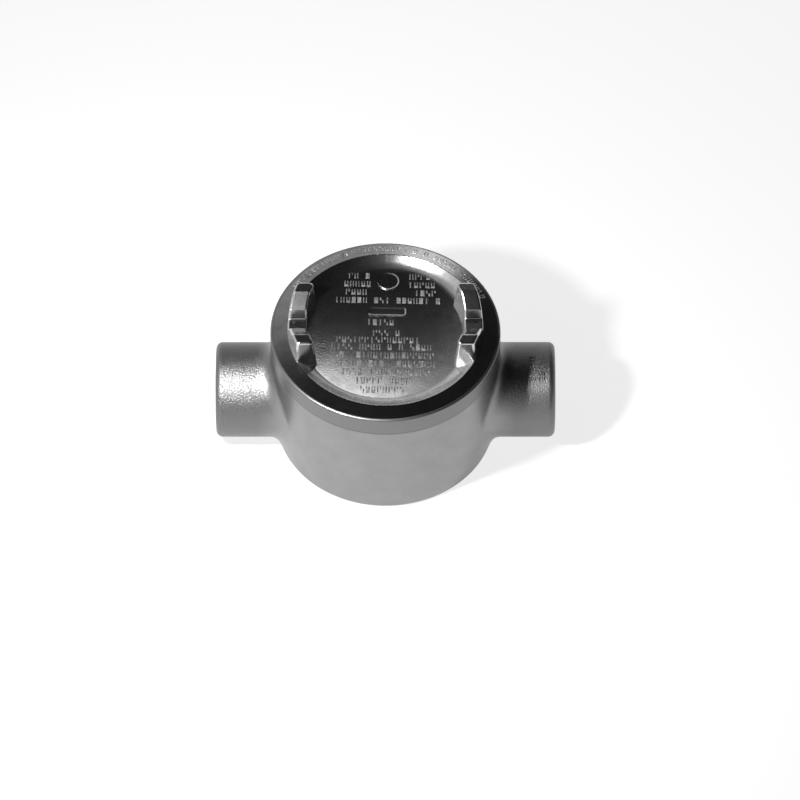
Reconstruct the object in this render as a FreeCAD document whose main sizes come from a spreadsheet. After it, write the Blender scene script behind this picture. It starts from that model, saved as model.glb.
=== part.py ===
import FreeCAD, Part
import math
import operator
import os

import Sketcher

# Round cast-aluminium conduit outlet body with two hubs and a screw-in cover.
# Frame: the origin is the centre of the flat base, +Z is up and the hubs lie along X.  Millimetres.

SIZES = [
    # outlet body casting
    ("body_height", 49.7),
    ("base_diameter", 88.0),
    ("rim_diameter", 91.0),
    ("base_rounding", 1.8),
    ("floor_thickness", 5.0),
    ("chamber_diameter", 78.0),
    ("chamber_rounding", 6.0),
    # hubs
    ("overall_length", 136.5),
    ("hub_diameter", 38.3),
    ("hub_axis_height", 21.0),
    ("hub_blend", 6.5),
    ("hub_end_rounding", 2.6),
    ("conduit_bore", 26.6),
    ("conduit_thread_depth", 18.0),
    ("conduit_chamfer", 1.2),
    ("bushing_bore", 20.8),
    ("bushing_width", 4.5),
    ("wire_way_bore", 27.0),
    ("bushing_lip", 1.4),
    # joint between body and cover
    ("neck_diameter", 76.4),
    ("thread_space", 1.5),
    ("neck_length", 14.0),
    ("thread_runout", 1.5),
    ("seal_section", 2.8),
    ("seal_clearance", 0.15),
    # cover casting
    ("cover_diameter", 92.0),
    ("flange_height", 8.7),
    ("rim_rounding", 0.9),
    ("seam_chamfer", 0.4),
    ("ring_rise", 1.2),
    ("recess_mouth", 77.8),
    ("recess_floor_diameter", 69.4),
    ("recess_depth", 3.5),
    ("recess_blend", 7.0),
    ("recess_edge_rounding", 0.3),
    ("plate_thickness", 5.6),
    ("neck_wall", 4.7),
    ("neck_chamfer", 1.0),
    ("neck_inner_rounding", 3.0),
    # wrench lugs
    ("lug_height", 10.2),
    ("lug_width", 33.6),
    ("lug_root_depth", 1.0),
    ("lug_root_inner", 31.0),
    ("lug_root_outer", 39.5),
    ("lug_draft_angle", 4.0),
    ("lug_corner_rounding", 1.5),
    ("horn_width", 5.6),
    ("slot_floor_height", 2.8),
    ("slot_floor_width", 5.4),
    ("slot_mouth_width", 9.6),
    ("slot_mouth_height", 6.3),
    ("lug_rounding", 0.8),
    # ground screw
    ("ground_offset", 24.0),
    ("boss_diameter", 12.0),
    ("boss_height", 1.2),
    ("screw_diameter", 4.8),
    ("screw_length", 4.6),
    ("screw_clearance", 0.05),
    ("screw_head_width", 8.0),
    ("screw_head_height", 3.2),
    ("screw_slot_width", 1.2),
    ("screw_slot_depth", 1.4),
    ("washer_diameter", 11.0),
    ("washer_thickness", 1.0),
    ("washer_cup", 1.6),
    ("washer_wall", 0.9),
]

doc = FreeCAD.newDocument("conduit_outlet_body")
sheet = doc.addObject("Spreadsheet::Sheet", "Sizes")
for row, (alias, value) in enumerate(SIZES, start=1):
    sheet.set("A%d" % row, alias.replace("_", " "))
    sheet.set("B%d" % row, str(value))
    sheet.setAlias("B%d" % row, alias)
doc.recompute()

ALONG_X = FreeCAD.Vector(1, 0, 0)
ALONG_Z = FreeCAD.Vector(0, 0, 1)
CLOSE = 0.01  # how near two sizes are when they count as the same, in millimetres
PARALLEL = 0.999999  # least cosine between two directions that count as the same
MARGIN = 1.0  # how far a search for edges reaches past the edges it is for, in millimetres
SIGNS = {"+": operator.add, "-": operator.sub, "*": operator.mul, "/": operator.truediv}


class Length:
    """A number together with the expression that works it out from the cells of the sheet."""

    def __init__(self, value, text):
        self.value = value
        self.text = text

    def joined(self, sign, other):
        if not isinstance(other, Length):
            other = Length(other, str(other))
        value = SIGNS[sign](self.value, other.value)
        return Length(value, "(%s %s %s)" % (self.text, sign, other.text))

    def __add__(self, other):
        return self.joined("+", other)

    def __sub__(self, other):
        return self.joined("-", other)

    def __mul__(self, other):
        return self.joined("*", other)

    def __truediv__(self, other):
        return self.joined("/", other)

    def __neg__(self):
        return Length(0, "0").joined("-", self)


ZERO = Length(0, "0")


def cell(alias):
    return Length(float(getattr(sheet, alias)), "Sizes." + alias)


# ---- helpers for bodies, sketches and features ----

def new_body(name):
    body = doc.addObject("PartDesign::Body", name)
    body.Label = name
    return body


def origin_feature(body, role):
    for feature in body.Origin.OriginFeatures:
        if feature.Role == role:
            return feature
    raise ValueError("the origin has no " + role)


def new_sketch(body, role, name, height=ZERO):
    """Empty sketch on one of the body's own origin planes, raised to a height."""
    sketch = body.newObject("Sketcher::SketchObject", name)
    sketch.AttachmentSupport = (origin_feature(body, role), [""])
    sketch.MapMode = "FlatFace"
    sketch.setExpression("AttachmentOffset.Base.z", height.text)
    return sketch


def bind(sketch, kind, places, length):
    """Constraint of a sketch whose value is bound to the sheet."""
    index = sketch.addConstraint(Sketcher.Constraint(kind, *places, length.value))
    sketch.setExpression("Constraints[%d]" % index, length.text)


def bind_point(sketch, geometry, end, across, up):
    bind(sketch, "DistanceX", (geometry, end), across)
    bind(sketch, "DistanceY", (geometry, end), up)


def circle(sketch, across, up, radius, helper=False):
    centre = FreeCAD.Vector(across.value, up.value, 0)
    index = sketch.addGeometry(Part.Circle(centre, ALONG_Z, radius.value), helper)
    bind_point(sketch, index, 3, across, up)
    bind(sketch, "Radius", (index,), radius)
    return index


def outline(sketch, corners):
    """Closed polygon of bound corners; a corner's third value, where it has one, rounds it."""
    count = len(corners)
    places = [FreeCAD.Vector(corner[0].value, corner[1].value, 0) for corner in corners]
    starts, ends = [], []
    for i, corner in enumerate(corners):
        back = (places[i - 1] - places[i]).normalize()
        ahead = (places[(i + 1) % count] - places[i]).normalize()
        reach = corner[2].value / math.tan(back.getAngle(ahead) / 2) if len(corner) == 3 else 0
        ends.append(places[i] + back * reach)
        starts.append(places[i] + ahead * reach)
    lines = [sketch.addGeometry(Part.LineSegment(starts[i], ends[(i + 1) % count]), False)
             for i in range(count)]
    for i, corner in enumerate(corners):
        before, after = lines[i - 1], lines[i]
        if len(corner) == 2:
            sketch.addConstraint(Sketcher.Constraint("Coincident", before, 2, after, 1))
            bind_point(sketch, after, 1, corner[0], corner[1])
            continue
        point = sketch.addGeometry(Part.Point(places[i]), True)
        arc, first, last = corner_arc(sketch, ends[i], places[i], starts[i], corner[2].value)
        sketch.addConstraint(Sketcher.Constraint("Tangent", before, 2, arc, first))
        sketch.addConstraint(Sketcher.Constraint("Tangent", arc, last, after, 1))
        sketch.addConstraint(Sketcher.Constraint("PointOnObject", point, 1, before))
        sketch.addConstraint(Sketcher.Constraint("PointOnObject", point, 1, after))
        bind(sketch, "Radius", (arc,), corner[2])
        bind_point(sketch, point, 1, corner[0], corner[1])


def corner_arc(sketch, come, corner, leave, radius):
    """Arc that rounds a corner, with the numbers of its ends in the order of the outline."""
    inward = (come - corner) + (leave - corner)
    half_angle = (come - corner).getAngle(leave - corner) / 2
    centre = corner + inward.normalize() * (radius / math.sin(half_angle))
    angles = [math.atan2((end - centre).y, (end - centre).x) for end in (come, leave)]
    turns_left = (corner - come).cross(leave - corner).z > 0
    ring = Part.Circle(centre, ALONG_Z, radius)
    if turns_left:
        return sketch.addGeometry(Part.ArcOfCircle(ring, angles[0], angles[1]), False), 1, 2
    return sketch.addGeometry(Part.ArcOfCircle(ring, angles[1], angles[0]), False), 2, 1


def revolve(body, kind, sketch, axis, name):
    feature = body.newObject(kind, name)
    feature.Profile = sketch
    feature.ReferenceAxis = (sketch, [axis])
    feature.Angle = 360
    sketch.Visibility = False
    doc.recompute()
    return feature


def extrude(body, kind, sketch, length, name, symmetric=False, downwards=False):
    feature = body.newObject(kind, name)
    feature.Profile = sketch
    feature.setExpression("Length", length.text)
    if symmetric:
        feature.SideType = "Symmetric"
    feature.Reversed = downwards
    sketch.Visibility = False
    doc.recompute()
    return feature


def face_names(feature, wanted):
    return ["Face%d" % (i + 1) for i, face in enumerate(feature.Shape.Faces) if wanted(face)]


def fillet(body, base, wanted, radius, name):
    """Fillet on the edges of the base that pass the test."""
    names = ["Edge%d" % (i + 1) for i, edge in enumerate(base.Shape.Edges) if wanted(edge)]
    feature = body.newObject("PartDesign::Fillet", name)
    feature.Base = (base, names)
    feature.setExpression("Radius", radius.text)
    doc.recompute()
    return feature


def is_ring(edge, radius, axis):
    """Whether the edge is a circle of this radius about a line along this axis."""
    curve = edge.Curve
    if not isinstance(curve, Part.Circle):
        return False
    return abs(curve.Radius - radius.value) < CLOSE and abs(curve.Axis.dot(axis)) > PARALLEL


# ---- outlet body: round housing, hubs, bushings and boss in one casting ----

def make_outlet_body():
    body = new_body("outlet_body")
    height = cell("body_height")
    base_radius = cell("base_diameter") / 2
    rim_radius = cell("rim_diameter") / 2
    hub_radius = cell("hub_diameter") / 2
    hub_height = cell("hub_axis_height")
    hub_blend = cell("hub_blend")
    hub_end = cell("overall_length") / 2

    # The drafted wall runs on below the base, so that the hub blends are whole when they are made.
    below = hub_blend * 2
    lower_radius = base_radius - (rim_radius - base_radius) * below / height
    wall = new_sketch(body, "XZ_Plane", "housing_wall")
    outline(wall, [(ZERO, -below), (lower_radius, -below), (rim_radius, height), (ZERO, height)])
    revolve(body, "PartDesign::Revolution", wall, "V_Axis", "housing")

    hub = new_sketch(body, "YZ_Plane", "hub_outline")
    circle(hub, ZERO, hub_height, hub_radius)
    last = extrude(body, "PartDesign::Pad", hub, hub_end * 2, "hubs", symmetric=True)

    def joins_hub(edge):
        box = edge.BoundBox
        reach = max(abs(box.XMin), abs(box.XMax))
        return (box.XLength > MARGIN and reach < rim_radius.value + MARGIN
                and box.YLength < hub_radius.value * 2 + MARGIN)

    last = fillet(body, last, joins_hub, hub_blend, "hub_blends")

    def ends_hub(edge):
        return is_ring(edge, hub_radius, ALONG_X) and abs(edge.CenterOfMass.x) > hub_end.value - CLOSE

    fillet(body, last, ends_hub, cell("hub_end_rounding"), "hub_ends")

    cut = new_sketch(body, "XY_Plane", "base_cut")
    circle(cut, ZERO, ZERO, hub_end * 2)
    last = extrude(body, "PartDesign::Pocket", cut, below * 2, "flat_base")

    def in_base(edge):
        return abs(edge.BoundBox.ZMin) < CLOSE and abs(edge.BoundBox.ZMax) < CLOSE

    fillet(body, last, in_base, cell("base_rounding"), "base_edge")

    # chamber, threaded mouth and the seat of the seal
    floor = cell("floor_thickness")
    chamber_radius = cell("chamber_diameter") / 2
    neck_radius = cell("neck_diameter") / 2
    mouth_radius = neck_radius + cell("thread_space")
    seal_room = cell("seal_section") + cell("seal_clearance") * 2
    thread_end = height - cell("neck_length") - cell("thread_runout")
    inside = new_sketch(body, "XZ_Plane", "chamber_section")
    outline(inside, [(ZERO, floor),
                     (chamber_radius, floor, cell("chamber_rounding")),
                     (chamber_radius, thread_end - cell("thread_runout")),
                     (mouth_radius, thread_end),
                     (mouth_radius, height - seal_room),
                     (neck_radius + seal_room, height - seal_room),
                     (neck_radius + seal_room, height),
                     (ZERO, height)])
    revolve(body, "PartDesign::Groove", inside, "V_Axis", "chamber")

    # conduit thread, bushing and wire way of each hub
    thread_radius = cell("conduit_bore") / 2
    bushing_radius = cell("bushing_bore") / 2
    way_radius = cell("wire_way_bore") / 2
    lip = cell("bushing_lip")
    chamfer = cell("conduit_chamfer")
    stop = hub_end - cell("conduit_thread_depth")
    inner = stop - cell("bushing_width")
    section = [(chamber_radius - way_radius, ZERO), (chamber_radius - way_radius, way_radius),
               (inner, way_radius), (inner, bushing_radius, lip), (stop, bushing_radius, lip),
               (stop, thread_radius), (hub_end - chamfer, thread_radius),
               (hub_end, thread_radius + chamfer), (hub_end, ZERO)]
    for side in ("right", "left"):
        way = new_sketch(body, "XZ_Plane", "way_section_" + side)
        corners = [(corner[0] if side == "right" else -corner[0], hub_height + corner[1]) + corner[2:]
                   for corner in section]
        outline(way, corners)
        low = FreeCAD.Vector(0, hub_height.value, 0)
        axis = way.addGeometry(Part.LineSegment(low, low + ALONG_X), True)
        way.addConstraint(Sketcher.Constraint("Horizontal", axis))
        bind(way, "DistanceY", (axis, 1), hub_height)
        revolve(body, "PartDesign::Groove", way, "Axis0", "way_" + side)

    # boss for the ground screw
    offset = cell("ground_offset")
    boss_top = floor + cell("boss_height")
    boss = new_sketch(body, "XY_Plane", "boss_outline", floor)
    circle(boss, ZERO, offset, cell("boss_diameter") / 2)
    extrude(body, "PartDesign::Pad", boss, cell("boss_height"), "ground_boss")
    hole = new_sketch(body, "XY_Plane", "boss_hole", boss_top)
    circle(hole, ZERO, offset, cell("screw_diameter") / 2 + cell("screw_clearance"))
    extrude(body, "PartDesign::Pocket", hole, cell("screw_length"), "ground_hole")
    return body


# ---- cover: ring, sunk middle, neck and two wrench lugs in one casting ----
# Its own frame has its origin in the seating face of the flange.

def lug_plan(body, height, inner, outer, width):
    """Plan of both lugs: each lies between two arcs about the centre and has parallel ends."""
    sketch = new_sketch(body, "XY_Plane", "lug_plan", height)
    for turn in (0, math.pi):
        arcs = []
        for radius in (inner, outer):
            reach = math.asin(width.value / 2 / radius.value)
            ring = Part.Circle(FreeCAD.Vector(), ALONG_Z, radius.value)
            arc = sketch.addGeometry(Part.ArcOfCircle(ring, turn - reach, turn + reach), False)
            sketch.addConstraint(Sketcher.Constraint("Coincident", arc, 3, -1, 1))
            sketch.addConstraint(Sketcher.Constraint("Symmetric", arc, 1, arc, 2, -1))
            bind(sketch, "Radius", (arc,), radius)
            lower, upper = (1, 2) if turn == 0 else (2, 1)
            bind(sketch, "DistanceY", (arc, lower, arc, upper), width)
            arcs.append(arc)
        for end in (1, 2):
            corners = [sketch.getPoint(arc, end) for arc in arcs]
            line = sketch.addGeometry(Part.LineSegment(*corners), False)
            sketch.addConstraint(Sketcher.Constraint("Coincident", line, 1, arcs[0], end))
            sketch.addConstraint(Sketcher.Constraint("Coincident", line, 2, arcs[1], end))
    return sketch


def make_threaded_cover():
    body = new_body("threaded_cover")
    body.AllowCompound = True
    radius = cell("cover_diameter") / 2
    seam = cell("seam_chamfer")
    ring_top = cell("flange_height") + cell("ring_rise")
    floor = ring_top - cell("recess_depth")
    underside = floor - cell("plate_thickness")
    neck = cell("neck_diameter") / 2
    neck_inner = neck - cell("neck_wall")
    neck_chamfer = cell("neck_chamfer")
    neck_end = -cell("neck_length")

    # The lugs come first, with their roots inside the plate that is then turned round them.
    width = cell("lug_width")
    crest = ring_top + cell("lug_height")
    root = cell("lug_root_depth")
    plan = lug_plan(body, floor - root, cell("lug_root_inner"), cell("lug_root_outer"), width)
    last = extrude(body, "PartDesign::Pad", plan, crest - floor + root, "lugs")

    def is_bottom(face):
        return face.BoundBox.ZMax < floor.value

    def is_side(face):
        return face.BoundBox.ZLength > root.value

    draft = body.newObject("PartDesign::Draft", "lug_draft")
    draft.Base = (last, face_names(last, is_side))
    draft.NeutralPlane = (last, face_names(last, is_bottom)[:1])
    draft.setExpression("Angle", "Sizes.lug_draft_angle")
    doc.recompute()

    def is_corner(edge):
        return edge.BoundBox.ZLength > root.value and edge.BoundBox.ZMin < floor.value

    fillet(body, draft, is_corner, cell("lug_corner_rounding"), "lug_corners")

    # The slot for a bar has sloping walls, and beyond them each lug rises to its two horns.
    slot_floor = ring_top + cell("slot_floor_height")
    right = [(cell("slot_floor_width") / 2, slot_floor),
             (cell("slot_mouth_width") / 2, ring_top + cell("slot_mouth_height")),
             (width / 2 - cell("horn_width"), crest),
             (width / 2 - cell("horn_width"), crest + cell("lug_height"))]
    left = [(-across, up) for across, up in reversed(right)]
    slot = new_sketch(body, "YZ_Plane", "slot_section")
    outline(slot, right + left)
    last = extrude(body, "PartDesign::Pocket", slot, radius * 2, "bar_slot", symmetric=True)

    def on_top(edge):
        return edge.BoundBox.ZMin > slot_floor.value - CLOSE

    fillet(body, last, on_top, cell("lug_rounding"), "lug_edges")

    section = new_sketch(body, "YZ_Plane", "cover_section")
    outline(section, [(ZERO, underside),
                      (neck_inner, underside, cell("neck_inner_rounding")),
                      (neck_inner, neck_end),
                      (neck - neck_chamfer, neck_end),
                      (neck, neck_end + neck_chamfer),
                      (neck, ZERO),
                      (radius - seam, ZERO),
                      (radius, seam),
                      (radius, cell("flange_height"), cell("rim_rounding")),
                      (cell("recess_mouth") / 2, ring_top, cell("recess_edge_rounding")),
                      (cell("recess_floor_diameter") / 2, floor, cell("recess_blend")),
                      (ZERO, floor)])
    revolve(body, "PartDesign::Revolution", section, "V_Axis", "cover_plate")
    body.setExpression("Placement.Base.z", "Sizes.body_height")
    return body


# ---- seal: O-ring round the neck, in its seat under the flange ----

def make_cover_o_ring():
    body = new_body("cover_o_ring")
    seal_radius = cell("seal_section") / 2
    section = new_sketch(body, "XZ_Plane", "seal_section_outline")
    circle(section, cell("neck_diameter") / 2 + cell("seal_clearance") + seal_radius,
           -(cell("seal_clearance") + seal_radius), seal_radius)
    revolve(body, "PartDesign::Revolution", section, "V_Axis", "seal")
    body.setExpression("Placement.Base.z", "Sizes.body_height")
    return body


# ---- ground screw and its cup washer, on the boss ----

def set_on_boss(body, height):
    body.setExpression("Placement.Base.y", "Sizes.ground_offset")
    body.setExpression("Placement.Base.z", height.text)


def make_ground_cup_washer():
    body = new_body("ground_cup_washer")
    hole = cell("screw_diameter") / 2 + cell("screw_clearance")
    rim = cell("washer_diameter") / 2
    wall = cell("washer_wall")
    thickness = cell("washer_thickness")
    top = thickness + cell("washer_cup")
    section = new_sketch(body, "XZ_Plane", "washer_section")
    outline(section, [(hole, ZERO), (rim, ZERO), (rim, top), (rim - wall, top),
                      (rim - wall, thickness), (hole, thickness)])
    revolve(body, "PartDesign::Revolution", section, "V_Axis", "washer")
    set_on_boss(body, cell("floor_thickness") + cell("boss_height"))
    return body


def make_ground_screw():
    body = new_body("ground_screw")
    shank = new_sketch(body, "XY_Plane", "shank_outline")
    circle(shank, ZERO, ZERO, cell("screw_diameter") / 2)
    extrude(body, "PartDesign::Pad", shank, cell("screw_length"), "shank", downwards=True)

    # The hexagon's corners lie on a circle, and its width is across the flats.
    head = new_sketch(body, "XY_Plane", "head_outline")
    corner_radius = cell("screw_head_width") / Length(math.sqrt(3), "sqrt(3)")
    corners = [FreeCAD.Vector(math.cos(math.pi * i / 3), math.sin(math.pi * i / 3), 0)
               * corner_radius.value for i in range(6)]
    for i in range(6):
        head.addGeometry(Part.LineSegment(corners[i], corners[(i + 1) % 6]), False)
    guide = circle(head, ZERO, ZERO, corner_radius, helper=True)
    for i in range(6):
        head.addConstraint(Sketcher.Constraint("Coincident", i, 2, (i + 1) % 6, 1))
        head.addConstraint(Sketcher.Constraint("PointOnObject", i, 1, guide))
    for i in range(5):
        head.addConstraint(Sketcher.Constraint("Equal", i, i + 1))
    head.addConstraint(Sketcher.Constraint("PointOnObject", 0, 1, -1))
    extrude(body, "PartDesign::Pad", head, cell("screw_head_height"), "head")

    slot = new_sketch(body, "XY_Plane", "driver_slot", cell("screw_head_height"))
    reach = cell("screw_head_width")
    side = cell("screw_slot_width") / 2
    outline(slot, [(reach, side), (-reach, side), (-reach, -side), (reach, -side)])
    extrude(body, "PartDesign::Pocket", slot, cell("screw_slot_depth"), "slot")
    set_on_boss(body, cell("floor_thickness") + cell("boss_height") + cell("washer_thickness"))
    return body


parts = [make_outlet_body(), make_threaded_cover(), make_cover_o_ring(), make_ground_cup_washer(),
         make_ground_screw()]
doc.recompute()

for item in doc.Objects:
    if "Invalid" in item.State or "Error" in item.State:
        raise RuntimeError(item.Label + " did not compute")
for body in parts:
    if body.Shape.isNull() or not body.Shape.isValid():
        raise RuntimeError(body.Label + " has no valid shape")

os.makedirs("parts", exist_ok=True)
for body in parts:
    body.Shape.exportStep("parts/" + body.Label + ".step")
    print(body.Label, "volume", round(body.Shape.Volume), "mm3")
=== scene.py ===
import math
import random

import bmesh
import bpy
from mathutils import Matrix, Vector


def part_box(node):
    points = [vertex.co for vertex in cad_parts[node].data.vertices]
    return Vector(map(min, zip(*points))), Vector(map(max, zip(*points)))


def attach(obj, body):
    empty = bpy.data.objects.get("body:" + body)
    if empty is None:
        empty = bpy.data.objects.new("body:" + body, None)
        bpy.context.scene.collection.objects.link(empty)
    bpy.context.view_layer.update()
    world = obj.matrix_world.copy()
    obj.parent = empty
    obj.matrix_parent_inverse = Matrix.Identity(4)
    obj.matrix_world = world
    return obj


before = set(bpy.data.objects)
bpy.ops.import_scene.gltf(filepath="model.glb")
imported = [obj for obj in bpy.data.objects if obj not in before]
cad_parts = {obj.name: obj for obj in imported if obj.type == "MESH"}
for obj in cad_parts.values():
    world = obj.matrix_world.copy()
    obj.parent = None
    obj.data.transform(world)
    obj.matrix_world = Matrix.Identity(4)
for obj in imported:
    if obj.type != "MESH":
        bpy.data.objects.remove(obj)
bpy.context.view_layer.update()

# Round conduit outlet body with a screw-in cover.  Everything is in metres, in the frame of the model:
# the hubs lie along X, the cover is on top, and the origin is the centre of the base.

mm = 0.001
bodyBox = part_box("outlet_body")
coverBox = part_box("threaded_cover")
rimHeight = bodyBox[1][2]      # seating face of the cover
hubEnd = bodyBox[1][0]


# camera, floor and light

cameraSetup = {"elevation": 51.2,      # degrees above the horizon, looking along +Y
               "distance": 2.6,
               "targetHeight": 0.030,
               "focalLength": 290.4,   # millimetres, on a 36 mm sensor
               "shift": (0.01817, -0.03075)}

# each lamp: direction from the object, distance, size across and power in watts
lampSetup = {
    # hard, from the left and the front
    "keyLamp": ((-0.120, -0.116, 0.255), 0.307, 0.026, 1.6),
    # soft, from behind, for the front half of the dished cover
    "rearPanel": ((0.085, 0.74, 0.665), 0.50, 0.12, 0.048),
    # soft and low, in front
    "frontPanel": ((-0.60, -1.00, 0.22), 1.40, 0.90, 0.4)}

floorSetup = {"size": 8.0, "height": -0.05 * mm, "color": 0.24, "glow": 0.80}

# brightness of the surroundings by height: the sine of the angle above the horizon, then the value;
# the lean lowers the bands on the right
studioBands = [(-0.30, 0.7), (0.20, 0.6), (0.40, 0.38), (0.55, 0.24),
               (0.66, 0.04), (0.76, 0.008), (1.0, 0.010)]
studioLean = 0.6


def addNode(tree, kind, **values):
    node = tree.nodes.new(kind)
    for key, value in values.items():
        node.inputs[key.replace("_", " ")].default_value = value
    return node


def mathNode(tree, operation, first, second=None):
    node = tree.nodes.new("ShaderNodeMath")
    node.operation = operation
    for socket, value in zip(node.inputs, (first, second)):
        if isinstance(value, (int, float)):
            socket.default_value = value
        elif value is not None:
            tree.links.new(value, socket)
    return node.outputs[0]


def makeCamera(setup):
    camera = bpy.data.cameras.new("productCamera")
    camera.lens = setup["focalLength"]
    camera.sensor_width = 36.0
    camera.shift_x, camera.shift_y = setup["shift"]
    camera.clip_start = 0.05
    rig = bpy.data.objects.new("productCamera", camera)
    bpy.context.scene.collection.objects.link(rig)
    elevation = math.radians(setup["elevation"])
    away = Vector((0, -math.cos(elevation), math.sin(elevation)))
    rig.location = Vector((0, 0, setup["targetHeight"])) + away * setup["distance"]
    rig.rotation_euler = (math.pi / 2 - elevation, 0, 0)
    bpy.context.scene.camera = rig


def makeLamp(name, direction, distance, size, power):
    lamp = bpy.data.lights.new(name, "AREA")
    lamp.shape = "DISK"
    lamp.size = size
    lamp.energy = power
    rig = bpy.data.objects.new(name, lamp)
    bpy.context.scene.collection.objects.link(rig)
    rig.location = Vector(direction).normalized() * distance
    rig.rotation_euler = (-rig.location).to_track_quat("-Z", "Y").to_euler()


def makeSurroundings(bands, lean):
    world = bpy.data.worlds.new("studio")
    world.use_nodes = True
    tree = world.node_tree
    coords = addNode(tree, "ShaderNodeTexCoord")
    split = addNode(tree, "ShaderNodeSeparateXYZ")
    place = addNode(tree, "ShaderNodeMapRange")
    place.inputs["From Min"].default_value = bands[0][0]
    ramp = addNode(tree, "ShaderNodeValToRGB")
    ramp.color_ramp.interpolation = "EASE"
    lowest = bands[0][0]
    while len(ramp.color_ramp.elements) < len(bands):
        ramp.color_ramp.elements.new(0.5)
    for element, (height, value) in zip(ramp.color_ramp.elements, bands):
        element.position = (height - lowest) / (1 - lowest)
        element.color = (value, value, value, 1)
    background = tree.nodes["Background"]
    tree.links.new(coords.outputs["Generated"], split.inputs[0])
    leaning = mathNode(tree, "MULTIPLY", split.outputs["X"], lean)
    tree.links.new(mathNode(tree, "ADD", split.outputs["Z"], leaning), place.inputs["Value"])
    tree.links.new(place.outputs["Result"], ramp.inputs["Fac"])
    tree.links.new(ramp.outputs["Color"], background.inputs["Color"])
    bpy.context.scene.world = world


def newObject(name, bm):
    mesh = bpy.data.meshes.new(name)
    bm.to_mesh(mesh)
    bm.free()
    piece = bpy.data.objects.new(name, mesh)
    bpy.context.scene.collection.objects.link(piece)
    return piece


def makeFloor(setup):
    bm = bmesh.new()
    bmesh.ops.create_grid(bm, x_segments=1, y_segments=1, size=setup["size"] / 2)
    bmesh.ops.translate(bm, verts=bm.verts, vec=(0, 0, setup["height"]))
    floor = newObject("studioFloor", bm)
    material, tree, surface = newMaterial("studioFloor", (setup["color"],) * 3, 0.0, 1.0)
    surface.inputs["Specular IOR Level"].default_value = 0.0
    surface.inputs["Emission Color"].default_value = (1, 1, 1, 1)
    path = addNode(tree, "ShaderNodeLightPath")
    direct = mathNode(tree, "MAXIMUM", path.outputs["Is Camera Ray"], path.outputs["Is Glossy Ray"])
    seen = mathNode(tree, "MAXIMUM", direct, path.outputs["Is Transmission Ray"])
    tree.links.new(mathNode(tree, "MULTIPLY", seen, setup["glow"]), surface.inputs["Emission Strength"])
    floor.data.materials.append(material)


# materials

def newMaterial(name, color, metallic, roughness):
    material = bpy.data.materials.new(name)
    material.use_nodes = True
    surface = material.node_tree.nodes["Principled BSDF"]
    surface.inputs["Base Color"].default_value = (*color, 1)
    surface.inputs["Metallic"].default_value = metallic
    surface.inputs["Roughness"].default_value = roughness
    return material, material.node_tree, surface


def placeAxes(tree):
    coords = addNode(tree, "ShaderNodeTexCoord")
    split = addNode(tree, "ShaderNodeSeparateXYZ")
    tree.links.new(coords.outputs["Object"], split.inputs[0])
    return coords.outputs["Object"], split.outputs


def noise(tree, place, size, detail=2.0, rough=0.5):
    node = addNode(tree, "ShaderNodeTexNoise", Scale=1 / size, Detail=detail, Roughness=rough)
    tree.links.new(place, node.inputs["Vector"])
    return node.outputs["Fac"]


def spread(tree, source, fromRange, toRange):
    remap = addNode(tree, "ShaderNodeMapRange")
    remap.inputs["From Min"].default_value, remap.inputs["From Max"].default_value = fromRange
    remap.inputs["To Min"].default_value, remap.inputs["To Max"].default_value = toRange
    tree.links.new(source, remap.inputs["Value"])
    return remap.outputs["Result"]


def around(middle, half):
    return middle - half, middle + half


# the part of a noise's 0 to 1 that carries a change of colour, and of gloss
stainRange = (0.35, 0.65)
glossRange = (0.3, 0.7)


def addBump(tree, surface, height, strength, distance):
    bump = addNode(tree, "ShaderNodeBump")
    bump.inputs["Distance"].default_value = distance
    if isinstance(strength, float):
        bump.inputs["Strength"].default_value = strength
    else:
        tree.links.new(strength, bump.inputs["Strength"])
    tree.links.new(height, bump.inputs["Height"])
    before = surface.inputs["Normal"]
    if before.is_linked:
        tree.links.new(before.links[0].from_socket, bump.inputs["Normal"])
    tree.links.new(bump.outputs["Normal"], before)


def tint(tree, surface, source, fromRange, dark, light):
    shade = addNode(tree, "ShaderNodeMix")
    shade.data_type = "RGBA"
    shade.inputs["A"].default_value = (*dark, 1)
    shade.inputs["B"].default_value = (*light, 1)
    tree.links.new(spread(tree, source, fromRange, (0.0, 1.0)), shade.inputs["Factor"])
    tree.links.new(shade.outputs["Result"], surface.inputs["Base Color"])


def tintOver(tree, surface, mask, color):
    # lays another colour over the present one where the mask is 1
    shade = addNode(tree, "ShaderNodeMix")
    shade.data_type = "RGBA"
    shade.inputs["B"].default_value = (*color, 1)
    tree.links.new(surface.inputs["Base Color"].links[0].from_socket, shade.inputs["A"])
    tree.links.new(mask, shade.inputs["Factor"])
    tree.links.new(shade.outputs["Result"], surface.inputs["Base Color"])


# painted shade in the gap between the cover and the body: its colour, half width, soft edge and strength
paintedSeamShade = {"color": (0.13, 0.13, 0.13), "half": 0.55 * mm, "soft": 0.45 * mm, "strength": 1.0}


def paintedSeamShadeMask(tree, axes, finish):
    # painted shade: a darkened line round the joint between the cover and the body, where shade falls in the
    # gap
    above = mathNode(tree, "SUBTRACT", axes["Z"], rimHeight)
    apart = mathNode(tree, "ABSOLUTE", above)
    return spread(tree, apart, around(finish["half"], finish["soft"]), (finish["strength"], 0.0))


bodyFinish = {"color": (0.295, 0.295, 0.298), "darker": (0.27, 0.27, 0.272),
              "hubColor": (0.20, 0.20, 0.202),
              "roughness": 0.38, "hubRoughness": 0.43,
              "hubStart": 42.0 * mm, "hubEnd": 52.0 * mm,     # where the blasted hub surface begins
              "grainSize": 0.55 * mm, "grainDepth": 0.06 * mm, "grainStrength": 0.35,
              "pitSize": 0.66 * mm, "pitDepth": 0.29 * mm, "stainSize": 9 * mm, "glossSpread": 0.05}


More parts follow.
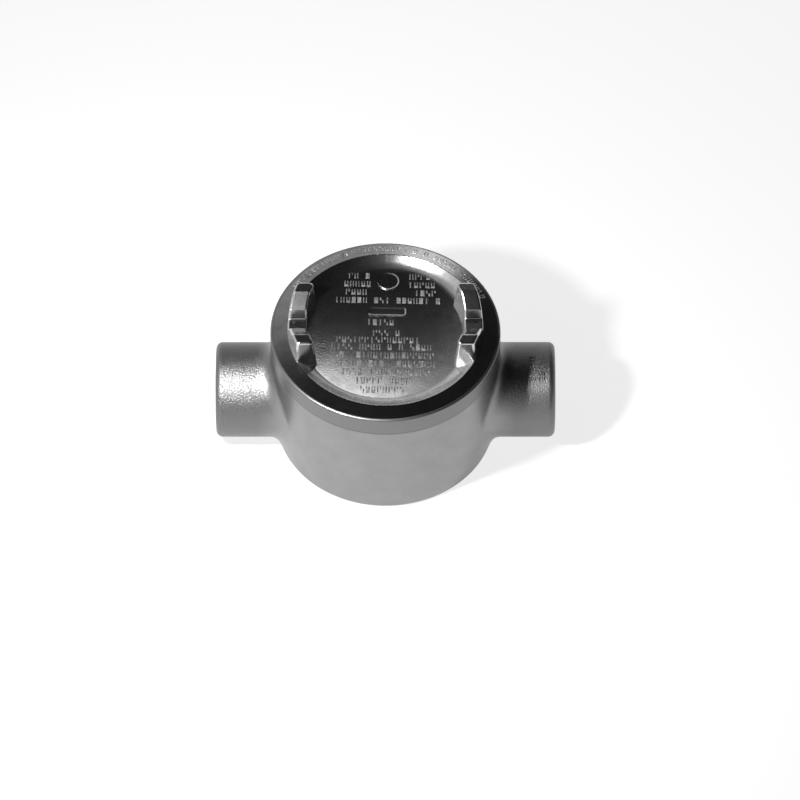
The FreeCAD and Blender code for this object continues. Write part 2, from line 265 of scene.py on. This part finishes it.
def castBodyMaterial(finish):
    material, tree, surface = newMaterial("castBody", finish["color"], 1.0, finish["roughness"])
    place, axes = placeAxes(tree)
    side = mathNode(tree, "ABSOLUTE", axes["X"])
    hub = spread(tree, side, (finish["hubStart"], finish["hubEnd"]), (0.0, 1.0))
    grain = noise(tree, place, finish["grainSize"], 3.0, 0.6)
    addBump(tree, surface, grain, finish["grainStrength"], finish["grainDepth"])
    pits = noise(tree, place, finish["pitSize"], 3.0, 0.55)
    addBump(tree, surface, pits, hub, finish["pitDepth"])
    stains = noise(tree, place, finish["stainSize"], 4.0, 0.6)
    tint(tree, surface, stains, stainRange, finish["darker"], finish["color"])
    tintOver(tree, surface, hub, finish["hubColor"])
    # painted shade along the joint with the cover
    tintOver(tree, surface, paintedSeamShadeMask(tree, axes, paintedSeamShade), paintedSeamShade["color"])
    gloss = spread(tree, grain, glossRange, around(finish["roughness"], finish["glossSpread"]))
    rougher = mathNode(tree, "MULTIPLY", hub, finish["hubRoughness"] - finish["roughness"])
    tree.links.new(mathNode(tree, "ADD", gloss, rougher), surface.inputs["Roughness"])
    return material


coverFinish = {"color": (0.66, 0.66, 0.665), "darker": (0.52, 0.52, 0.523),
               "skirtColor": (0.205, 0.205, 0.207), "skirtRadius": 45.0 * mm,
               "castRoughness": 0.175, "turnedRoughness": 0.14, "skirtRoughness": 0.40,
               "ringInner": 38.7 * mm, "ringLow": rimHeight + 8.45 * mm, "ringHigh": rimHeight + 10.05 * mm,
               "grainSize": 0.8 * mm, "grainDepth": 0.05 * mm, "grainStrength": 0.6,
               "turningPitch": 0.22 * mm, "turningDepth": 0.02 * mm, "turningStrength": 0.25,
               "stainSize": 6 * mm, "edge": 0.2 * mm, "dishEdge": 0.3 * mm,
               "dishRadii": (4.0 * mm, 36.5 * mm), "dishRise": 2.6 * mm, "dishTop": rimHeight + 7.1 * mm}


def castCoverMaterial(finish):
    material, tree, surface = newMaterial("castCover", finish["color"], 1.0, finish["castRoughness"])
    place, axes = placeAxes(tree)
    flat = addNode(tree, "ShaderNodeCombineXYZ")
    tree.links.new(axes["X"], flat.inputs["X"])
    tree.links.new(axes["Y"], flat.inputs["Y"])
    length = addNode(tree, "ShaderNodeVectorMath")
    length.operation = "LENGTH"
    tree.links.new(flat.outputs[0], length.inputs[0])
    reach = length.outputs["Value"]
    edge = finish["edge"]
    outside = spread(tree, reach, around(finish["ringInner"], edge), (0.0, 1.0))
    above = spread(tree, axes["Z"], (finish["ringLow"], finish["ringLow"] + edge), (0.0, 1.0))
    below = spread(tree, axes["Z"], (finish["ringHigh"], finish["ringHigh"] + edge), (1.0, 0.0))
    skirt = spread(tree, reach, around(finish["skirtRadius"], edge), (0.0, 1.0))
    inside = mathNode(tree, "SUBTRACT", outside, skirt)
    ring = mathNode(tree, "MULTIPLY", inside, mathNode(tree, "MULTIPLY", above, below))
    cast = mathNode(tree, "SUBTRACT", 1.0, ring)
    grain = noise(tree, place, finish["grainSize"], 4.0, 0.6)
    grainMask = mathNode(tree, "MULTIPLY", cast, finish["grainStrength"])
    addBump(tree, surface, grain, grainMask, finish["grainDepth"])
    # fine turning marks on the ring
    turned = addNode(tree, "ShaderNodeTexNoise", Scale=1 / finish["turningPitch"], Detail=1.0, Roughness=0.5)
    turned.noise_dimensions = "1D"
    tree.links.new(reach, turned.inputs["W"])
    turningMask = mathNode(tree, "MULTIPLY", ring, finish["turningStrength"])
    addBump(tree, surface, turned.outputs["Fac"], turningMask, finish["turningDepth"])
    # the floor of the recess curves up a little toward its wall
    dish = mathNode(tree, "POWER", spread(tree, reach, finish["dishRadii"], (0.0, 1.0)), 2.0)
    low = spread(tree, axes["Z"], around(finish["dishTop"], finish["dishEdge"]), (1.0, 0.0))
    addBump(tree, surface, dish, low, finish["dishRise"])
    stains = noise(tree, place, finish["stainSize"], 5.0, 0.65)
    tint(tree, surface, stains, stainRange, finish["darker"], finish["color"])
    tintOver(tree, surface, skirt, finish["skirtColor"])
    gloss = spread(tree, ring, (0.0, 1.0), (finish["castRoughness"], finish["turnedRoughness"]))
    rougher = mathNode(tree, "MULTIPLY", skirt, finish["skirtRoughness"] - finish["castRoughness"])
    tree.links.new(mathNode(tree, "ADD", gloss, rougher), surface.inputs["Roughness"])
    # painted shade along the joint with the body
    tintOver(tree, surface, paintedSeamShadeMask(tree, axes, paintedSeamShade), paintedSeamShade["color"])
    return material


glossBelow, glossAbove = 0.06, 0.08     # how far the roughness of a metal strays from its value


def varyGloss(tree, surface, place, size, roughness):
    gloss = spread(tree, noise(tree, place, size), glossRange,
                   (roughness - glossBelow, roughness + glossAbove))
    tree.links.new(gloss, surface.inputs["Roughness"])


threadFinish = {"color": (0.50, 0.50, 0.51), "roughness": 0.24, "toolMark": 0.48 * mm,
                "markStrength": 0.3, "markDepth": 0.02 * mm, "glossSize": 2 * mm}


def cutThreadMaterial(finish):
    material, tree, surface = newMaterial("cutThread", finish["color"], 1.0, finish["roughness"])
    place = placeAxes(tree)[0]
    toolMarks = noise(tree, place, finish["toolMark"])
    addBump(tree, surface, toolMarks, finish["markStrength"], finish["markDepth"])
    varyGloss(tree, surface, place, finish["glossSize"], finish["roughness"])
    return material


smallFinish = {"rubber": (0.020, 0.020, 0.021), "rubberRoughness": 0.55, "rubberGlossSpread": 0.10,
               "rubberGrain": 0.5 * mm, "rubberGloss": 3 * mm, "rubberRelief": 0.3,
               "brass": (0.62, 0.42, 0.16), "brassRoughness": 0.28,
               "green": (0.03, 0.20, 0.08), "greenRoughness": 0.30,
               "platedGrain": 0.7 * mm, "platedStain": 1.6 * mm, "platedGloss": 1.1 * mm,
               "platedRelief": 0.25, "stainDarkening": 0.75, "reliefDepth": 0.03 * mm}


def rubberMaterial(finish):
    material, tree, surface = newMaterial("sealRubber", finish["rubber"], 0.0, finish["rubberRoughness"])
    place = placeAxes(tree)[0]
    addBump(tree, surface, noise(tree, place, finish["rubberGrain"]), finish["rubberRelief"],
            finish["reliefDepth"])
    gloss = spread(tree, noise(tree, place, finish["rubberGloss"]), glossRange,
                   around(finish["rubberRoughness"], finish["rubberGlossSpread"]))
    tree.links.new(gloss, surface.inputs["Roughness"])
    return material


def platedMaterial(name, finish, color, roughness):
    material, tree, surface = newMaterial(name, color, 1.0, roughness)
    place = placeAxes(tree)[0]
    grain = noise(tree, place, finish["platedGrain"], 3.0)
    addBump(tree, surface, grain, finish["platedRelief"], finish["reliefDepth"])
    dark = tuple(value * finish["stainDarkening"] for value in color)
    tint(tree, surface, noise(tree, place, finish["platedStain"], 3.0), stainRange, dark, color)
    varyGloss(tree, surface, place, finish["platedGloss"], roughness)
    return material


def dress(piece, material):
    piece.data.materials.clear()
    piece.data.materials.append(material)


# screw threads

coverThread = {"pitch": 25.4 / 12 * mm, "footHalf": 0.95 * mm, "crestHalf": 0.12 * mm, "steps": 96,
               "neckWall": 38.2 * mm, "neckCrest": 39.45 * mm,
               "mouthWall": 39.7 * mm, "mouthCrest": 38.45 * mm,
               "neckStart": rimHeight - 12.0 * mm, "neckEnd": rimHeight - 4.3 * mm,
               "mouthStart": rimHeight - 13.6 * mm, "mouthEnd": rimHeight - 4.0 * mm,
               "sunk": 0.08 * mm, "fadeTurns": 0.25, "endRise": 0.02 * mm}

conduitThread = {"pitch": 25.4 / 14 * mm, "footHalf": 0.84 * mm, "crestHalf": 0.10 * mm, "steps": 72,
                 "wall": 13.3 * mm, "crestOutside": 12.35 * mm, "crestInside": 11.95 * mm,
                 "start": hubEnd - 17.0 * mm, "end": hubEnd - 2.2 * mm,
                 "sunk": 0.08 * mm, "fadeTurns": 0.3, "endRise": 0.02 * mm,
                 "axisHeight": 21.0 * mm}


def threadRidge(setup, wall, crests, start, end, phase=0.0):
    # a ridge about Z: its section is turned and lifted, and sinks into the wall at both ends
    bm = bmesh.new()
    pitch, steps = setup["pitch"], setup["steps"]
    inward = -1 if crests[0] < wall else 1
    foot = wall - inward * setup["sunk"]
    section = [(foot, -setup["footHalf"]), (crests[0], -setup["crestHalf"]),
               (crests[0], setup["crestHalf"]), (foot, setup["footHalf"])]
    corners = [bm.verts.new((reach, 0, start + height)) for reach, height in section]
    face = bm.faces.new(corners)
    turns = (end - start) / pitch
    bmesh.ops.rotate(bm, verts=bm.verts, cent=(0, 0, 0), matrix=Matrix.Rotation(phase, 3, "Z"))
    bmesh.ops.spin(bm, geom=[face] + face.edges[:] + corners, cent=(0, 0, 0), axis=(0, 0, 1),
                   dvec=(0, 0, pitch / steps), angle=2 * math.pi * turns, steps=round(turns * steps))
    middle = (wall + crests[0]) / 2
    for vert in bm.verts:
        reach = vert.co.xy.length
        if (reach - middle) * inward < 0:
            continue
        along = (vert.co.z - start) / (end - start)
        crest = crests[0] + (crests[1] - crests[0]) * min(max(along, 0), 1)
        fade = min(along, 1 - along) * turns / setup["fadeTurns"]
        crest = foot + inward * setup["endRise"] + (crest - foot) * min(max(fade, 0.0), 1.0)
        vert.co.xy *= crest / reach
    bmesh.ops.recalc_face_normals(bm, faces=bm.faces)
    return bm


def makeCoverThreads(setup, material):
    neck = newObject("cover_thread", threadRidge(setup, setup["neckWall"], (setup["neckCrest"],) * 2,
                                                 setup["neckStart"], setup["neckEnd"]))
    dress(neck, material)
    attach(neck, "cover")
    # the mouth's ridge runs half a pitch away from the neck's
    apart = (setup["mouthStart"] - setup["neckStart"]) / setup["pitch"] + 0.5
    mouth = newObject("mouth_thread", threadRidge(setup, setup["mouthWall"], (setup["mouthCrest"],) * 2,
                                                  setup["mouthStart"], setup["mouthEnd"],
                                                  2 * math.pi * apart))
    dress(mouth, material)
    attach(mouth, "housing")


def makeConduitThreads(setup, material):
    for name, turn in (("right", math.pi / 2), ("left", -math.pi / 2)):
        bm = threadRidge(setup, setup["wall"], (setup["crestInside"], setup["crestOutside"]),
                         setup["start"], setup["end"])
        bmesh.ops.rotate(bm, verts=bm.verts, cent=(0, 0, 0), matrix=Matrix.Rotation(turn, 3, "Y"))
        bmesh.ops.translate(bm, verts=bm.verts, vec=(0, 0, setup["axisHeight"]))
        thread = newObject("conduit_thread_" + name, bm)
        dress(thread, material)
        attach(thread, "housing")


# raised marks: plain strokes and shapes where such a cover has its cast data

markSetup = {"floor": coverBox[1][2] - 13.7 * mm, "rise": 0.60 * mm, "sunk": 0.15 * mm,
             "cellWidth": 1.75 * mm, "cellHeight": 2.7 * mm, "cellGap": 0.50 * mm, "slope": 0.22 * mm,
             "turn": -1.3,   # degrees that the marks stand away from square
             # rows: middle across, place up the floor, length, in millimetres
             "rows": [(-11.2, 30.2, 8.0), (-11.8, 26.0, 10.4), (-12.2, 21.8, 9.0),
                      (13.2, 30.0, 8.0), (14.0, 25.8, 11.0), (14.4, 21.6, 11.0),
                      (0.4, 17.6, 43.0), (-1.0, 6.3, 13.2),
                      (-0.8, 0.8, 13.0), (-3.0, -2.8, 34.0), (-0.4, -6.4, 42.0), (-0.4, -10.6, 41.0),
                      (0.0, -14.9, 40.0), (0.4, -19.2, 35.0), (-0.6, -23.6, 27.0), (-0.8, -28.2, 17.0)],
             # places and size of the round pad and the long one, in millimetres
             "discRadius": 4.3 * mm, "discPlace": (0.6, 27.4), "bossSize": (15.0, 3.9),
             "bossPlace": (0.5, 11.6), "bossCorner": 0.7 * mm,
             "padRim": 0.55 * mm, "padHollow": 0.22 * mm,
             "gapShare": 0.12}   # how many of the cells stay empty

markFinish = {"color": (0.66, 0.66, 0.665), "roughness": 0.34}

ringMarkSetup = {"radius": 42.4 * mm, "rise": 0.32 * mm, "fromAngle": 24.0, "toAngle": 156.0, "step": 3.1,
                 "ringInner": 38.9 * mm, "ringTop": rimHeight + 9.9 * mm, "slope": -1.2 / 7.1}

hubMarkSetup = {"along": (59.0, 62.6), "fromAngle": 64.0, "toAngle": 97.0, "step": 7.0, "radius": 19.15 * mm,
                "axisHeight": 21.0 * mm, "rise": 0.35 * mm}


# the strokes of each mark in a cell: middle across, middle up, width and height as shares of the cell
markShapes = [((-0.32, 0.0, 0.36, 1.0), (0.32, 0.0, 0.36, 1.0)),
              ((-0.32, 0.0, 0.36, 1.0), (0.30, 0.30, 0.40, 0.40)),
              ((0.0, 0.37, 1.0, 0.26), (0.0, 0.0, 1.0, 0.24), (0.0, -0.37, 1.0, 0.26)),
              ((-0.28, 0.28, 0.44, 0.44), (0.28, -0.28, 0.44, 0.44)),
              ((0.0, -0.37, 1.0, 0.26), (-0.3, 0.16, 0.36, 0.62), (0.3, 0.16, 0.36, 0.62)),
              ((0.0, 0.0, 0.40, 1.0),)]


def addStroke(bm, size, matrix, slope, sunk):
    # a low block with sloping sides, its foot a little under the surface
    width, length, rise = size
    for vert in bmesh.ops.create_cube(bm, size=1.0)["verts"]:
        top = vert.co.z > 0
        inset = slope if top else 0.0
        across = math.copysign(width / 2 - inset, vert.co.x)
        along = math.copysign(length / 2 - inset, vert.co.y)
        vert.co = matrix @ Vector((across, along, rise if top else -sunk))


def addMark(bm, dice, place, rise, setup):
    for across, up, width, height in dice.choice(markShapes):
        spot = place @ Matrix.Translation((across * setup["cellWidth"], up * setup["cellHeight"], 0))
        addStroke(bm, (width * setup["cellWidth"], height * setup["cellHeight"], rise), spot,
                  setup["slope"], setup["sunk"])


def floorPlace(setup):
    return Matrix.Rotation(math.radians(setup["turn"]), 4, "Z") @ Matrix.Translation((0, 0, setup["floor"]))


def makeFloorMarks(setup, material):
    dice = random.Random(7)
    bm = bmesh.new()
    turned = floorPlace(setup)
    step = setup["cellWidth"] + setup["cellGap"]
    for middle, up, length in setup["rows"]:
        cells = round(length * mm / step)
        for index in range(cells):
            if dice.random() < setup["gapShare"]:
                continue      # a gap between groups
            across = middle * mm + (index - (cells - 1) / 2) * step
            addMark(bm, dice, turned @ Matrix.Translation((across, up * mm, 0)), setup["rise"], setup)
    marks = newObject("cover_marks", bm)
    dress(marks, material)
    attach(marks, "cover")


def makeFloorPads(setup, material):
    # a round pad and a long one, each with a raised rim
    bm = bmesh.new()
    pad = bmesh.ops.create_circle(bm, cap_ends=True, segments=48, radius=setup["discRadius"])["verts"]
    bmesh.ops.translate(bm, verts=pad, vec=(setup["discPlace"][0] * mm, setup["discPlace"][1] * mm, 0))
    wide, tall = (size / 2 * mm for size in setup["bossSize"])
    cut = setup["bossCorner"]
    bar = [bm.verts.new((setup["bossPlace"][0] * mm + x, setup["bossPlace"][1] * mm + y, 0))
           for x, y in ((-wide + cut, -tall), (wide - cut, -tall), (wide, -tall + cut), (wide, tall - cut),
                        (wide - cut, tall), (-wide + cut, tall), (-wide, tall - cut), (-wide, -tall + cut))]
    bm.faces.new(bar)
    bmesh.ops.translate(bm, verts=bm.verts, vec=(0, 0, -setup["sunk"]))
    faces = bm.faces[:]
    lifted = bmesh.ops.extrude_discrete_faces(bm, faces=faces)["faces"]
    lift = setup["sunk"] + setup["rise"]
    bmesh.ops.translate(bm, verts=[v for f in lifted for v in f.verts], vec=(0, 0, lift))
    bmesh.ops.inset_individual(bm, faces=lifted, thickness=setup["padRim"])
    bmesh.ops.translate(bm, verts=[v for f in lifted for v in f.verts], vec=(0, 0, -setup["padHollow"]))
    foot = [edge for edge in bm.edges if edge.is_boundary]
    bmesh.ops.holes_fill(bm, edges=foot, sides=0)
    bmesh.ops.recalc_face_normals(bm, faces=bm.faces)
    bmesh.ops.transform(bm, matrix=floorPlace(setup), verts=bm.verts)
    pads = newObject("cover_pads", bm)
    dress(pads, material)
    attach(pads, "cover")


def makeRingMarks(setup, marks, material):
    dice = random.Random(11)
    bm = bmesh.new()
    lean = math.atan(setup["slope"])
    angle = setup["fromAngle"]
    height = setup["ringTop"] + (setup["radius"] - setup["ringInner"]) * setup["slope"]
    while angle < setup["toAngle"]:
        if dice.random() > marks["gapShare"]:
            place = (Matrix.Rotation(math.radians(angle - 90), 4, "Z")
                     @ Matrix.Translation((0, setup["radius"], height)) @ Matrix.Rotation(lean, 4, "X"))
            addMark(bm, dice, place, setup["rise"], marks)
        angle += setup["step"]
    ring = newObject("ring_marks", bm)
    dress(ring, material)
    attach(ring, "cover")


def makeHubMarks(setup, marks, material):
    dice = random.Random(5)
    bm = bmesh.new()
    angle = setup["fromAngle"]
    while angle < setup["toAngle"]:
        for along in setup["along"]:
            place = (Matrix.Translation((along * mm, 0, setup["axisHeight"]))
                     @ Matrix.Rotation(math.radians(90 - angle), 4, "X")
                     @ Matrix.Translation((0, 0, setup["radius"])) @ Matrix.Rotation(math.pi / 2, 4, "Z"))
            addMark(bm, dice, place, setup["rise"], marks)
        angle += setup["step"]
    hub = newObject("hub_marks", bm)
    dress(hub, material)
    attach(hub, "housing")


makeCamera(cameraSetup)
for lampName, lampValues in lampSetup.items():
    makeLamp(lampName, *lampValues)
makeSurroundings(studioBands, studioLean)
makeFloor(floorSetup)
bpy.context.scene.view_settings.view_transform = "Standard"
print("stage ready")

bodyMetal = castBodyMaterial(bodyFinish)
coverMetal = castCoverMaterial(coverFinish)
washerBrass = platedMaterial("washerBrass", smallFinish, smallFinish["brass"], smallFinish["brassRoughness"])
screwGreen = platedMaterial("screwGreen", smallFinish, smallFinish["green"], smallFinish["greenRoughness"])
dress(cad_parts["outlet_body"], bodyMetal)
dress(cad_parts["threaded_cover"], coverMetal)
dress(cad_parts["cover_o_ring"], rubberMaterial(smallFinish))
dress(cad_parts["ground_cup_washer"], washerBrass)
dress(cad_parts["ground_screw"], screwGreen)
print("materials ready")

threadMetal = cutThreadMaterial(threadFinish)
makeCoverThreads(coverThread, threadMetal)
makeConduitThreads(conduitThread, threadMetal)
print("threads ready")

rubbedMetal = platedMaterial("rubbedMarks", smallFinish, markFinish["color"], markFinish["roughness"])
makeFloorMarks(markSetup, rubbedMetal)
makeFloorPads(markSetup, coverMetal)
makeRingMarks(ringMarkSetup, markSetup, rubbedMetal)
makeHubMarks(hubMarkSetup, markSetup, bodyMetal)
print("marks ready")
